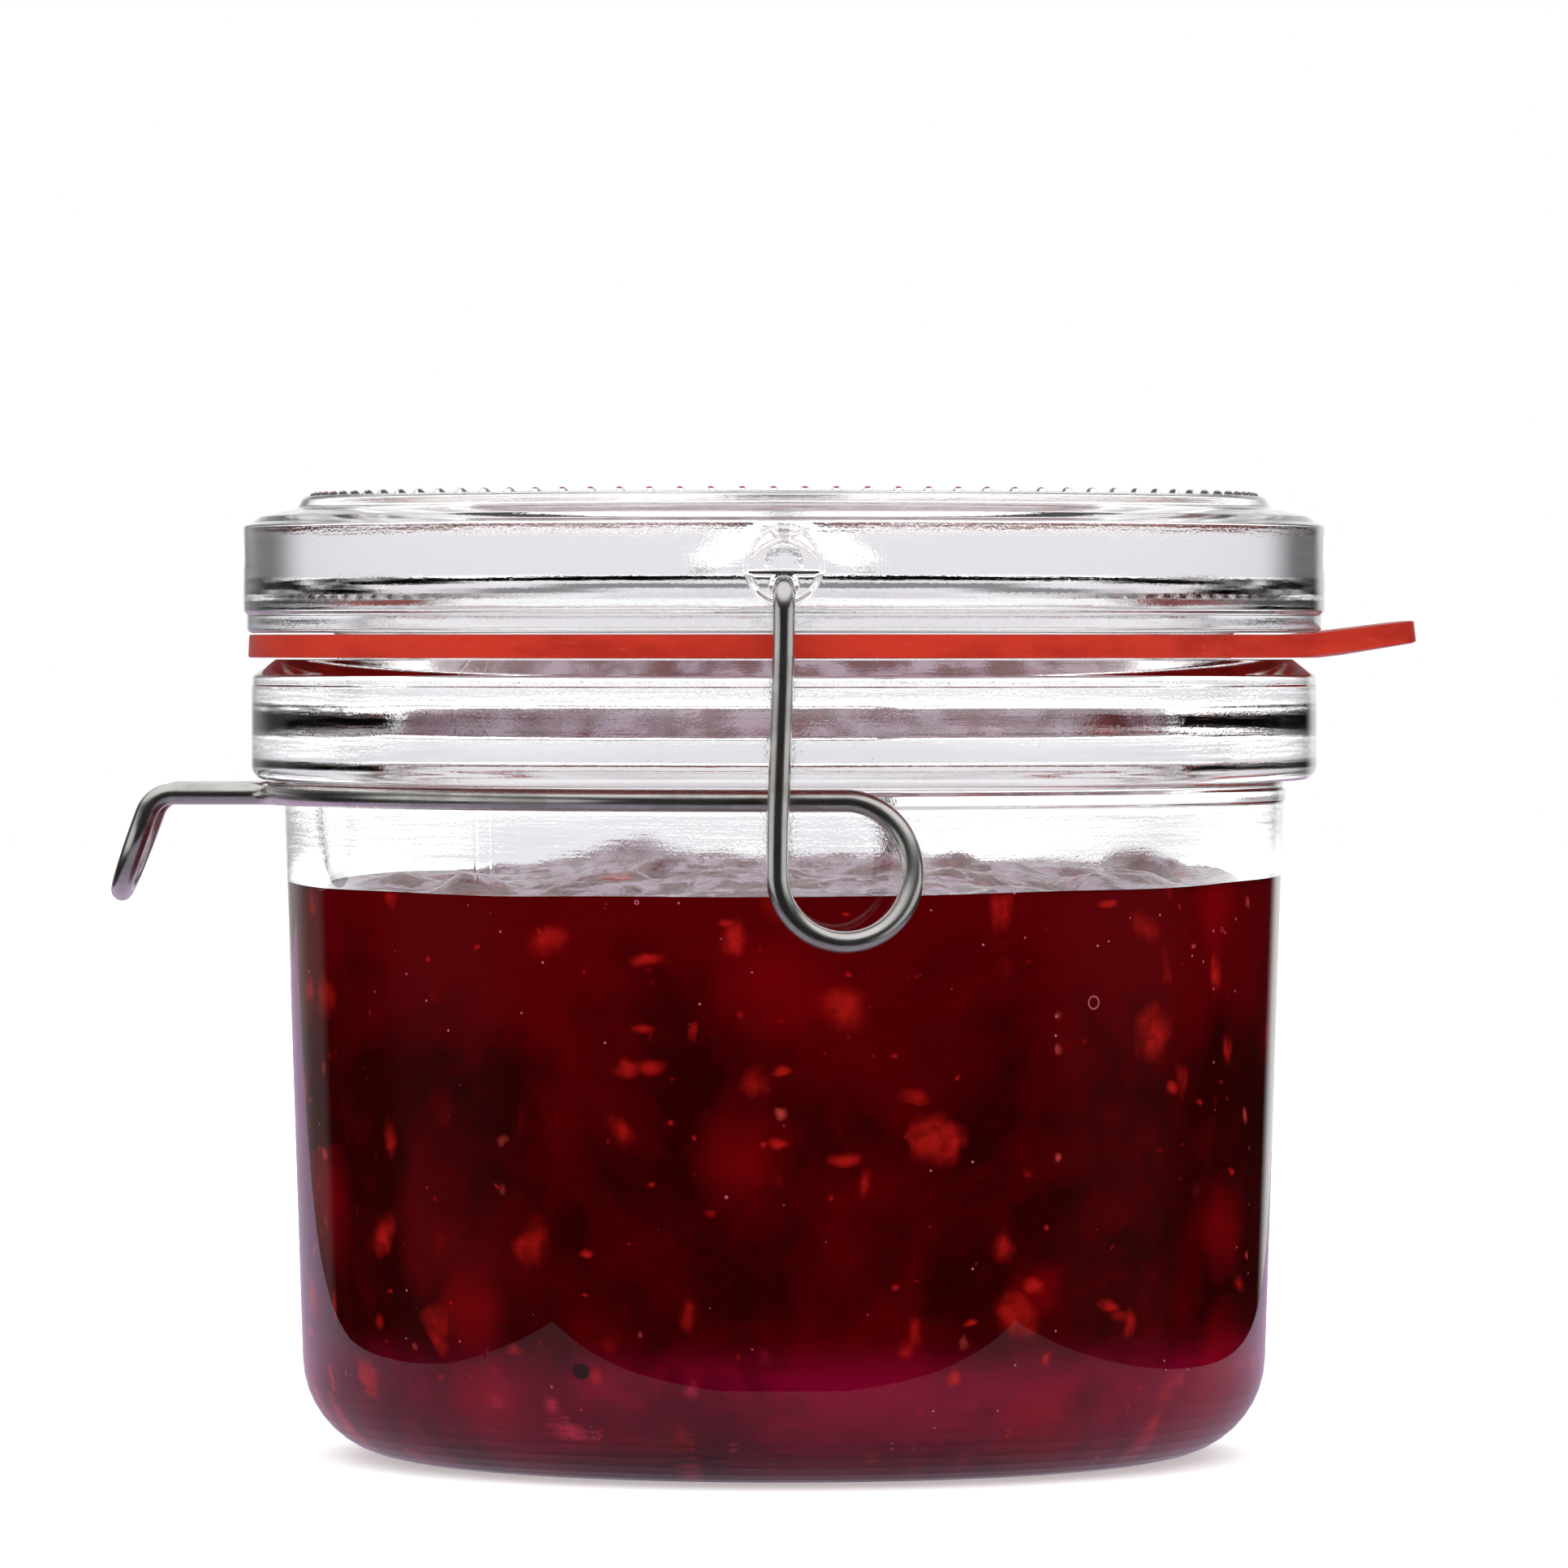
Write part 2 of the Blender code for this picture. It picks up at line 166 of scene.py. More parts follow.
class Bench:
    """Adds nodes to one material's or world's tree, and feeds its shader."""

    def __init__(self, tree: bpy.types.NodeTree, shader: str = "Principled BSDF") -> None:
        """Remember the tree and its shader.

        Args:
            tree: the tree that the nodes go into.
            shader: the name of the node that their results feed.
        """
        self.tree = tree
        self.shader = tree.nodes[shader]

    def feed(self, **signals: Signal) -> None:
        """Link signals into the shader.

        Args:
            signals: signals by socket name, with _ for a space.
        """
        for name, signal in signals.items():
            self.tree.links.new(signal.socket, self.shader.inputs[name.replace("_", " ")])

    def add(self, kind: str, settings: dict, inputs: dict, output: int | str = 0) -> Signal:
        """Add any node.

        Args:
            kind: the node's type.
            settings: its own properties; "stops" fills a colour ramp.
            inputs: values or signals by socket name or number.
            output: the output to hand back.

        Returns:
            The chosen output.
        """
        node = self.tree.nodes.new(kind)
        for name, value in settings.items():
            if name == "stops":
                self.fill_ramp(node.color_ramp, value)
            else:
                setattr(node, name, value)
        for key, value in inputs.items():
            if isinstance(value, Signal):
                self.tree.links.new(value.socket, node.inputs[key])
            else:
                node.inputs[key].default_value = value
        return Signal(self, node.outputs[output])

    @staticmethod
    def fill_ramp(ramp: bpy.types.ColorRamp, stops: Sequence[tuple[float, Colour]]) -> None:
        """Set a ramp's stops.

        Args:
            ramp: the colour ramp, with Blender's two stops.
            stops: places and colours, in rising order.
        """
        while len(ramp.elements) < len(stops):
            ramp.elements.new(1.0)
        for element, (place, colour) in zip(ramp.elements, stops):
            element.position = place
            element.color = (*colour, 1.0)

    def point(self, stretch: Sequence[float] = (1, 1, 1)) -> Signal:
        """The surface point in object coordinates.

        Args:
            stretch: scale of the pattern along each axis.

        Returns:
            The stretched point.
        """
        place = self.add("ShaderNodeTexCoord", {}, {}, "Object")
        return self.add("ShaderNodeMapping", {}, {"Vector": place, "Scale": stretch})

    def noise(self, at: Signal, size: float, detail: float = 2.0, rough: float = 0.5) -> Signal:
        """Soft random values of about one feature per size.

        Args:
            at: where the pattern is read.
            size: feature size.
            detail: octaves.
            rough: share of the finer octaves.

        Returns:
            A value of about 0.2 to 0.8.
        """
        inputs = {"Vector": at, "Scale": 1 / (size * MM), "Detail": detail, "Roughness": rough}
        return self.add("ShaderNodeTexNoise", {}, inputs, 0)

    def cells(self, at: Signal, size: float) -> Signal:
        """Distance from the middle of random cells.

        Args:
            at: where the pattern is read.
            size: cell size.

        Returns:
            The distance; its Color output is one random colour per cell.
        """
        inputs = {"Vector": at, "Scale": 1 / (size * MM), "Randomness": 1.0}
        return self.add("ShaderNodeTexVoronoi", {}, inputs, "Distance")

    def shift(self, at: Signal, size: float, reach: float) -> Signal:
        """Move a point at random, so that a pattern read there has irregular edges.

        Args:
            at: the point.
            size: size of the wobbles.
            reach: how far they go.

        Returns:
            The moved point.
        """
        wobble = self.noise(at, size, 3.0).output("Color")
        centred = self.add(
            "ShaderNodeVectorMath", {"operation": "SUBTRACT"}, {0: wobble, 1: (0.5, 0.5, 0.5)})
        scaled = self.add(
            "ShaderNodeVectorMath", {"operation": "SCALE"}, {0: centred, "Scale": 2 * reach * MM})
        return self.add("ShaderNodeVectorMath", {"operation": "ADD"}, {0: at, 1: scaled})

    def mix(self, low: "Signal | Colour", high: "Signal | Colour", share: Value) -> Signal:
        """Mix two colours.

        Args:
            low: colour at share 0.
            high: colour at share 1.
            share: how much of the second.

        Returns:
            The mixed colour.
        """
        colours = [c if isinstance(c, Signal) else (*c, 1.0) for c in (low, high)]
        settings = {"data_type": "RGBA", "clamp_factor": True}
        return self.add("ShaderNodeMix", settings, {0: share, 6: colours[0], 7: colours[1]}, 2)

    def bump(self, height: Signal, depth: float, strength: float = 1.0) -> Signal:
        """Turn a height pattern into a normal.

        Args:
            height: the pattern, about 0 to 1.
            depth: millimetres that a height of 1 stands for.
            strength: share of the effect.

        Returns:
            The normal.
        """
        inputs = {"Strength": strength, "Distance": depth * MM, "Height": height}
        return self.add("ShaderNodeBump", {}, inputs)


# Finishes


@dataclass(frozen=True)
class Finish:
    """A finish: its name, the record's slot and the settings that are the same all over."""

    name: str
    slot: str
    constants: dict[str, float | Sequence[float]] = field(default_factory=dict, hash=False)

    def paint(self, bench: Bench) -> None:
        """Add what varies over the surface; every finish has its own.

        Args:
            bench: the material's bench.
        """

    def make(self) -> bpy.types.Material:
        """Make the material.

        Returns:
            A material with a Principled shader, painted.
        """
        mat = bpy.data.materials.new(self.name)
        mat.use_nodes = True
        bench = Bench(mat.node_tree)
        for socket, value in self.constants.items():
            bench.shader.inputs[socket].default_value = value
        self.paint(bench)
        return mat

    def made(self) -> bpy.types.Material:
        """Hand out the finish's material, made at its first use.

        Returns:
            The material.
        """
        if self.name not in MATERIALS:
            MATERIALS[self.name] = self.make()
        return MATERIALS[self.name]


@dataclass(frozen=True)
class PressedGlass(Finish):
    """Clear pressed glass with the mould's marks; their heights are in millimetres."""

    drawn: float = 0.006
    rings: float = 0.0090
    grain: float = 0.0060
    smooth_below: float = 0.0
    seam_angle: float | None = None

    def paint(self, bench: Bench) -> None:
        """Add slow waves, turning lines, the mould's grain and seam, and a few smudges.

        Args:
            bench: the material's bench.
        """
        at = bench.point()
        slow = bench.noise(bench.point((1, 1, 0.5)), 6.0, 1.0) * self.drawn
        turned = bench.noise(bench.point((0.04, 0.04, 1.0)), 0.55, 2.0) * self.rings
        pitted = bench.noise(at, 0.30, 2.0, 0.6) * self.grain
        moulded = at.part(2).step(self.smooth_below * MM, (self.smooth_below + 3) * MM)
        height = slow + (turned + pitted) * moulded
        if self.seam_angle is not None:
            azimuth = at.part(0).math("ARCTAN2", 0 - at.part(1))
            off = abs(azimuth - math.radians(self.seam_angle))
            height = height + off.step(0.007, 0.0) * 0.012
        bench.feed(Normal=bench.bump(height, 1.0))
        smudge = bench.noise(bench.shift(at, 30, 8), 14.0, 4.0, 0.6).step(0.56, 0.72)
        fine = bench.noise(at, 0.7, 2.0)
        bench.feed(Roughness=smudge * fine * 0.06 + 0.002)


@dataclass(frozen=True)
class Preserve(Finish):
    """Dark red fruit jam: deep clear gel with pieces of fruit, pips and tiny bubbles; painted
    light in its colour makes the top lighter, lights the bottom, adds backlit blobs, bubble glints
    and bright bubble rims, and gives the top a sheen and shade in its folds.
    """

    # Random tone between these two, and painted light: the gel is lighter towards its top.
    gel_dark: Colour = (0.027, 0.0001, 0.0005)
    gel_light: Colour = (0.110, 0.0001, 0.0015)
    # Painted light from below: the magenta that the bottom of the jam is painted.
    gel_lit_from_below: Colour = (0.250, 0.0020, 0.0300)
    # Painted backlight shining through the gel, laid on in soft blobs.
    painted_glow: Colour = (0.30, 0.001, 0.004)
    # Pulp painted pale magenta as lit from below, like the painted light in the jam's bottom.
    pulp_lit_from_below: Colour = (0.62, 0.030, 0.080)
    fruit: Colour = (0.52, 0.012, 0.009)
    flesh: Colour = (0.72, 0.075, 0.060)
    pip: Colour = (0.004, 0.0004, 0.0004)
    # Painted glints: bright dots where tiny bubbles catch the light.
    bubble_glint: Colour = (0.90, 0.22, 0.32)
    # Pale lavender foam on the top, partly a painted sheen reflecting the lavender surroundings;
    # the dark colour below it is painted shade in the top's folds.
    froth_and_sheen: Colour = (0.44, 0.32, 0.42)
    folds: Colour = (0.075, 0.020, 0.060)
    froth_sheen_share: float = 0.0
    relief: float = 0.10

    def blobs(self, bench: Bench, at: Signal, size: float, share: float, spread: float) -> Signal:
        """Soft blobs in some of the cells of a random pattern.

        Args:
            bench: the material's bench.
            at: where the pattern is read.
            size: cell size.
            share: share of the cells that hold a blob.
            spread: radius of a blob as a share of its cell.

        Returns:
            1 in the middle of a blob, 0 outside.
        """
        cells = bench.cells(at, size)
        luck = cells.output("Color")
        radius = luck.part(1) * spread * 0.7 + spread * 0.3
        inside = (1 - cells / radius).step(0.0, 0.9)
        return inside * luck.part(0).step(1 - share, 1.02 - share)

    def bubbles(self, bench: Bench, at: Signal, size: float, share: float) -> Signal:
        """Thin bright rings, painted highlights on the rims of bubbles that lie against the glass.

        Args:
            bench: the material's bench.
            at: where the pattern is read.
            size: cell size.
            share: share of the cells that hold a bubble.

        Returns:
            1 on a ring, 0 elsewhere.
        """
        cells = bench.cells(at, size)
        luck = cells.output("Color")
        ratio = cells / (luck.part(1) * 0.07 + 0.06)
        ring = ratio.step(0.70, 0.85) * ratio.step(1.0, 0.88)
        return ring * luck.part(2).step(1 - share, 1.02 - share)

    def paint(self, bench: Bench) -> None:
        """Add the gel's tone with painted light at its top and bottom, painted backlit blobs, the
        fruit in three sizes, pips, painted bubble glints, painted bright rims of bubbles, and on
        the top a foam with a painted sheen and painted shade in its folds.

        Args:
            bench: the material's bench.
        """
        at = bench.point()
        height = at.part(2)
        tone = bench.noise(bench.shift(at, 30, 10), 16, 4.0, 0.6)
        # Painted light: the gel goes lighter towards its top, from 34 to 58 mm, over its random
        # tone.
        lit = height.step(0.034, 0.058) * 0.26 + tone
        colour = bench.mix(self.gel_dark, self.gel_light, lit.step(0.36, 0.74))
        # Painted light from below: the gel goes magenta up to 9 mm, fading out by 15 mm.
        low = height.step(0.0150, 0.0090) * (tone.step(0.38, 0.62) * 0.6 + 0.4)
        colour = bench.mix(colour, self.gel_lit_from_below, low * 0.8)
        # Painted backlight: soft bright blobs where light shines through the gel.
        painted_glow_blobs = self.blobs(bench, bench.shift(at, 7, 3.0), 14, 0.5, 0.60)
        fine_at = bench.shift(at, 2.5, 1.0)
        marbling = bench.noise(fine_at, 1.6, 3.0).step(0.35, 0.65)
        large = self.blobs(bench, bench.shift(at, 5, 2.6), 7.4, 0.38, 0.50)
        upright = bench.shift(bench.point((1.0, 1.0, 0.55)), 3, 1.2)
        middle = self.blobs(bench, upright, 4.2, 0.26, 0.42)
        flat = bench.shift(bench.point((0.55, 0.55, 1.0)), 3, 1.1)
        slivers = self.blobs(bench, flat, 3.4, 0.20, 0.36)
        core = self.blobs(bench, fine_at, 4.4, 0.12, 0.30)
        # Pulp blobs only in the bottom 8 to 16 mm, painted pale magenta as part of the light from
        # below.
        sunk_lit_from_below = self.blobs(bench, bench.shift(at, 4, 2.2), 6.5, 0.45, 0.48)
        sunk_lit_from_below = sunk_lit_from_below * height.step(0.016, 0.008)
        pips = self.blobs(bench, at, 9.5, 0.16, 0.14).step(0.0, 0.25)
        crumbs = self.blobs(bench, fine_at, 2.1, 0.16, 0.26)
        # Painted glints of tiny bubbles, more of them near the top.
        near_top = height.step(0.036, 0.054) * 0.07 + 0.03
        cells = bench.cells(at, 1.0)
        lucky = cells.output("Color").part(0)
        bubble_glints = (1 - cells / 0.16).step(0.0, 0.6) * (lucky - 1 + near_top).step(0.0, 0.004)
        # Painted highlights: bright rims of bubbles against the glass.
        rings = self.bubbles(bench, at, 8.0, 0.10) + self.bubbles(bench, at, 3.2, 0.06)
        layers = [
            (self.painted_glow, painted_glow_blobs * 0.50), (self.fruit, large * (marbling * 0.4 + 0.40)),
            (self.fruit, middle * (marbling * 0.45 + 0.5)), (self.fruit, slivers * 0.9),
            (self.flesh, core * (marbling * 0.5 + 0.3)),
            (self.pulp_lit_from_below, sunk_lit_from_below * (marbling * 0.5 + 0.35)), (self.pip, pips * 0.9),
            (self.fruit, crumbs * 0.75), (self.bubble_glint, bubble_glints * 0.85), (self.bubble_glint, rings * 0.55)]
        for paint, share in layers:
            colour = bench.mix(colour, paint, share)
        if self.froth_sheen_share:
            # Foam on the top, partly a painted sheen, mixed with painted shade in the top's folds.
            film_and_sheen = bench.noise(bench.shift(at, 9, 5), 5.0, 4.0, 0.6)
            shade = bench.mix(self.folds, self.froth_and_sheen, film_and_sheen.step(0.40, 0.60))
            colour = bench.mix(colour, shade, (1 - large) * film_and_sheen.step(0.44, 0.54) * self.froth_sheen_share)
        bench.feed(Base_Color=colour)
        lumps = large * 0.5 + middle * 0.3 + marbling * 0.2
        bench.feed(Normal=bench.bump(lumps, self.relief))


@dataclass(frozen=True)
class SealRubber(Finish):
    """Orange-red moulded rubber with faint flow marks, scuffs and dust."""

    colour: Colour = (0.39, 0.019, 0.006)
    worn: Colour = (0.28, 0.010, 0.003)
    dust: Colour = (0.80, 0.22, 0.15)

    def paint(self, bench: Bench) -> None:
        """Add flow marks, scuffs and dust.

        Args:
            bench: the material's bench.
        """
        at = bench.point()
        flow = bench.noise(bench.point((0.5, 0.5, 1.6)), 6.0, 4.0, 0.6)
        colour = bench.mix(self.worn, self.colour, flow.step(0.30, 0.62))
        scuffs = bench.noise(bench.point((0.35, 0.35, 2.5)), 0.9, 3.0, 0.7).step(0.60, 0.80)
        colour = bench.mix(colour, self.dust, scuffs * 0.16)
        cells = bench.cells(at, 2.6)
        dust = (1 - cells / 0.045).step(0.0, 0.8) * cells.output("Color").part(0).step(0.80, 0.82)
        colour = bench.mix(colour, self.dust, dust * 0.6)
        bench.feed(Base_Color=colour)
        grain = bench.noise(at, 0.28, 3.0, 0.6)
        bench.feed(Roughness=flow * 0.22 + grain * 0.12 + 0.24)
        bench.feed(Normal=bench.bump(grain * 0.6 + scuffs * 0.4, 0.02))


@dataclass(frozen=True)
class DrawnSteel(Finish):
    """Bright drawn stainless wire: fine lines along it, dull patches and a trace of heat tint."""

    bright: Colour = (0.66, 0.65, 0.63)
    dull: Colour = (0.40, 0.385, 0.36)
    tint: Colour = (0.42, 0.27, 0.15)

    def paint(self, bench: Bench) -> None:
        """Add drawing lines, dull patches and tint.

        Args:
            bench: the material's bench.
        """
        at = bench.point()
        along = bench.add("ShaderNodeAttribute", {"attribute_name": "along_wire"}, {}, "Vector")
        lines = bench.noise(bench.add(
            "ShaderNodeMapping", {}, {"Vector": along, "Scale": (0.02, 1.0, 1.0)}), 0.16, 3.0, 0.7)
        patches = bench.noise(bench.shift(at, 12, 4), 5.0, 4.0, 0.6)
        colour = bench.mix(self.bright, self.dull, patches.step(0.44, 0.70) * 0.6)
        tint = bench.noise(at, 9.0, 3.0, 0.6).step(0.60, 0.74)
        colour = bench.mix(colour, self.tint, tint * 0.35)
        spots = bench.cells(bench.shift(at, 1.2, 0.5), 5.0)
        spots = (1 - spots / 0.09).step(0.0, 0.7) * spots.output("Color").part(0).step(0.9, 0.92)
        colour = bench.mix(colour, (0.16, 0.07, 0.02), spots * 0.8)
        bench.feed(Base_Color=colour)
        bench.feed(Roughness=lines * 0.16 + patches * 0.16 + 0.10)
        bench.feed(Normal=bench.bump(lines, 0.012))


@dataclass(frozen=True)
class StudioPaper(Finish):
    """The pale floor: smooth white paper with a barely visible tooth; the same finish, dark,
    paints the shaded table top that only reflections show.
    """

    colour: Colour = (0.90, 0.90, 0.905)
    far: Colour | None = None

    def paint(self, bench: Bench) -> None:
        """Add the paper's tooth, and the painted lighter far end of the dark reflection sheet if
        it has one.

        Args:
            bench: the material's bench.
        """
        tooth = bench.noise(bench.point(), 3.0, 4.0)
        shade = tuple(0.985 * channel for channel in self.colour)
        colour = bench.mix(shade, self.colour, tooth.step(0.3, 0.7))
        if self.far:
            colour = bench.mix(colour, self.far, bench.point().part(1).step(-0.06, 0.12))
        bench.feed(Base_Color=colour)


GLASS = {"Transmission Weight": 1.0, "IOR": 1.5, "Base Color": (0.992, 0.996, 0.994, 1.0)}
JAR_GLASS = PressedGlass("jar_glass", "jar_glass", GLASS, smooth_below=60.0, seam_angle=-36.5)
LID_GLASS = PressedGlass("lid_glass", "lid_glass", GLASS)
JAM_AT_GLASS = Preserve(
    "jam_against_glass", "jam", {"Roughness": 0.6, "Specular IOR Level": 0.0})
JAM_TOP = Preserve(
    "jam_top", "jam", {"Roughness": 0.12, "Specular IOR Level": 0.9}, froth_sheen_share=0.85, relief=0.6)
RUBBER = SealRubber("seal_rubber", "seal_rubber", {"Specular IOR Level": 0.14})
STEEL = DrawnSteel("clip_steel", "clip_steel", {"Metallic": 1.0})
FLAT = {"Roughness": 0.9, "Specular IOR Level": 0.1, "Emission Color": (1, 1, 1, 1)}
PAPER = StudioPaper("studio_paper", "", {**FLAT, "Emission Strength": 0.35})
# A dark sheet seen only in reflections: painted shade for the mirrored table top, painted lighter
# towards its far end.
TABLE_SHADE = StudioPaper(
    "table_shade_paper", "", FLAT, colour=(0.22, 0.20, 0.245), far=(0.46, 0.34, 0.49))


# Mesh work


def soft(value: float, low: float, high: float) -> float:
    """Go smoothly from 0 at low to 1 at high.

    Args:
        value: the value to place between them.
        low: where the result is 0.
        high: where the result is 1.

    Returns:
        The smoothed share.
    """
    share = min(max((value - low) / (high - low), 0.0), 1.0)
    return share * share * (3 - 2 * share)


def bow(centre: Vector, start: Vector, end: Vector, steps: int) -> list[Vector]:
    """Points on the arc about a centre from one point to another, ends included.

    Args:
        centre: the arc's centre, in a plane.
        start: its first point.
        end: its last point.
        steps: how many pieces it has.

    Returns:
        The points.
    """
    turn = (start - centre).angle_signed(end - centre)
    swings = [Matrix.Rotation(-turn * i / steps, 2) for i in range(steps + 1)]
    return [centre + swing @ (start - centre) for swing in swings]


@dataclass
class Outline:
    """A section in a plane through the jar's axis, as corners of radius, height and rounding.

    Every corner is in millimetres. Roundings become arcs, straights get a point just beside
    each arc, which keeps them shaded flat, and long straights are divided.
    """

    corners: list[tuple[float, float, float]]
    longest: float = 2.0
    closed: bool = False
    per_turn: float = 9.0
    beside: float = 0.08

    def rounded(self, index: int) -> list[Vector]:
        """One corner as the points of its arc.

        Args:
            index: the corner's number.

        Returns:
            The arc's points, or the corner alone if it is sharp.
        """
        count = len(self.corners)
        places = [Vector(self.corners[i % count][:2]) for i in (index - 1, index, index + 1)]
        rounding = self.corners[index][2]
        if not rounding:
            return [places[1]]
        back = (places[0] - places[1]).normalized()
        ahead = (places[2] - places[1]).normalized()
        half = back.angle(ahead) / 2
        reach = rounding / math.tan(half)
        centre = places[1] + (back + ahead).normalized() * rounding / math.sin(half)
        steps = max(2, math.ceil(math.degrees(math.pi - 2 * half) / self.per_turn))
        return bow(centre, places[1] + back * reach, places[1] + ahead * reach, steps)

    def points(self) -> list[Vector]:
        """The whole section.

        Returns:
            Its points, in order.
        """
        rough = [point for i in range(len(self.corners)) for point in self.rounded(i)]
        if self.closed:
            rough.append(rough[0])
        fine = [rough[0]]
        for start, end in zip(rough, rough[1:]):
            length = (end - start).length
            if length > 6 * self.beside:
                along = (end - start) / length
                pieces = math.ceil((length - 2 * self.beside) / self.longest)
                inner = (length - 2 * self.beside) / pieces
                marks = [self.beside + inner * i for i in range(pieces + 1)]
                fine += [start + along * mark for mark in marks]
            fine.append(end)
        return fine[:-1] if self.closed else fine

    def turned(self, columns: int) -> Mesh:
        """Turn the section about the jar's axis into a closed body.

        Args:
            columns: steps round the axis.

        Returns:
            A mesh in metres with its faces outwards.
        """
        bm = bmesh.new()
        verts = [bm.verts.new((p.x * MM, 0, p.y * MM)) for p in self.points()]
        pairs = list(zip(verts, verts[1:]))
        if self.closed:
            pairs.append((verts[-1], verts[0]))
        edges = [bm.edges.new(pair) for pair in pairs]
        bmesh.ops.spin(
            bm, geom=verts + edges, cent=(0, 0, 0), axis=(0, 0, 1), dvec=(0, 0, 0),
            angle=math.tau, steps=columns, use_merge=True)
        bmesh.ops.remove_doubles(bm, verts=bm.verts, dist=TOUCHING * MM)
        bmesh.ops.recalc_face_normals(bm, faces=bm.faces)
        return bm


def radius(place: Vector) -> float:
    """Distance of a point from the jar's axis, in millimetres."""
    return (place * RADIAL).length / MM


def outwards(place: Vector) -> Vector:
    """The level direction from the jar's axis to a point."""
    return (place * RADIAL).normalized()


def link_mesh(name: str, bm: Mesh, finishes: Sequence[Finish]) -> Piece:
    """Make an object of a mesh and put it in the scene.

    Args:
        name: the object's name.
        bm: its mesh in metres, which is used up.
        finishes: its finishes, in the order of the faces' material numbers.

    Returns:
        The object.
    """
    mesh = bpy.data.meshes.new(name)
    bm.to_mesh(mesh)
    bm.free()
    for finish in finishes:
        mesh.materials.append(finish.made())
    made = bpy.data.objects.new(name, mesh)
    bpy.context.scene.collection.objects.link(made)
    return made


def place_piece(
        name: str, bm: Mesh, body: Body, node: str, finishes: Sequence[Finish],
        ) -> Piece:
    """Turn a finished bmesh into a piece that rides on its body.

    Args:
        name: the piece's name.
        bm: its mesh in metres, which is used up.
        body: the body that it rides on.
        node: the CAD node that it stands for, or nothing.
        finishes: its finishes, in the order of the faces' material numbers.

    Returns:
        The piece.
    """
    piece = link_mesh(name, bm, finishes)
    piece.data.shade_smooth()
    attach(piece, body.value)
    if node:
        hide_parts(node)
    LOG.info("%s: %d faces on %s", name, len(piece.data.polygons), body.value)
    return piece


# The jar and its jam


@dataclass
class GlassJar:
    """The glass jar: rounded foot with a push-up, tapered body, neck bead, collar and rim."""

    height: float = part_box("jar_body")[1][2] / MM
    collar_r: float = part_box("jar_body")[1][0] / MM
    collar_out: float = 3.4
    collar_height: float = 10.6
    rim_rise: float = 1.7
    wall: float = 4.2
    taper: float = 2.0
    floor: float = 5.5
    foot_round: float = 10.0
    push_up: float = 1.0
    flare_top: float = 76.7
    flare_low: float = 73.6
    columns: int = 256

    @property
    def body_r(self) -> float:
        """Outside radius just under the collar."""
        return self.collar_r - self.collar_out

    @property
    def mouth_r(self) -> float:
        """Radius of the mouth."""
        return self.body_r - self.wall

    @property
    def collar_low(self) -> float:
        """Height of the collar's underside."""
        return self.height - self.rim_rise - self.collar_height

    def inner_r(self, z: float) -> float:
        """Inside radius of the straight part of the wall.

        Args:
            z: height.

        Returns:
            The radius.
        """
        share = min(z / self.collar_low, 1.0)
        return self.mouth_r - self.taper * (1 - share)

    def settle(self, place: Vector) -> Vector:
        """How pressing and cooling moved the inner wall at a point.

        Args:
            place: a point on the inner wall, in metres.

        Returns:
            The shift in metres, along the radius.
        """
        swell = noise.noise(place * 34.0) * 0.16 + noise.noise(place * 95.0) * 0.045
        z = place.z / MM
        high = self.collar_low - 5
        fade = soft(z, self.floor - 1, self.floor + 12) * soft(z, high, high - 3)
        return outwards(place) * swell * fade * MM

    def section(self) -> Outline:
        """Draw the glass wall from the middle of the underside to the middle of the floor.

        Returns:
            The section.
        """
        low = self.collar_low
        foot = self.body_r - self.taper
        top = self.height
        return Outline([
            (0, self.push_up, 0),
            (33.0, self.push_up * 0.8, 7.0),
            (38.5, 0.0, 1.2),
            (foot - 0.15, 0.0, self.foot_round),
            (self.body_r, low - 2.9, 5.0),
            (self.body_r, low - 2.3, 0.3),
            (self.body_r + 0.22, low - 2.0, 0.2),
            (self.body_r + 0.22, low - 1.0, 0.2),
            (self.body_r - 0.05, low - 0.7, 0.2),
            (self.body_r - 0.05, low, 0.5),
            (self.collar_r, low, 1.5),
            (self.collar_r, top - 2.75, 0.05),
            (self.collar_r - 0.12, top - 2.55, 0.05),
            (self.collar_r - 0.12, top - self.rim_rise, 0.55),
            (self.collar_r - 1.5, top - self.rim_rise * 0.42, 0.6),
            (self.collar_r - 2.5, top, 0.35),
            (self.mouth_r + 0.4, top, 0.9),
            (self.mouth_r + 0.4, self.flare_top, 1.2),
            (self.mouth_r - 1.0, self.flare_low, 1.2),
            (self.mouth_r - 1.0, low + 2.0, 1.5),
            (self.inner_r(low - 0.6), low - 0.6, 2.0),
            (self.inner_r(0), self.floor, self.foot_round - 0.5),
            (0, self.floor + 0.35, 0),
        ])

    def build(self) -> Piece:
        """Make the jar.

        Returns:
            The piece.
        """
        bm = self.section().turned(self.columns)
        for vert in bm.verts:
            z = vert.co.z / MM
            r = radius(vert.co)
            inner = r < self.inner_r(z) + 0.3 and self.floor < z < self.collar_low - 5
            if inner and r > 1:
                vert.co += self.settle(vert.co)
        return place_piece("jar_glass_body", bm, Body.JAR, "jar_body", [JAR_GLASS])


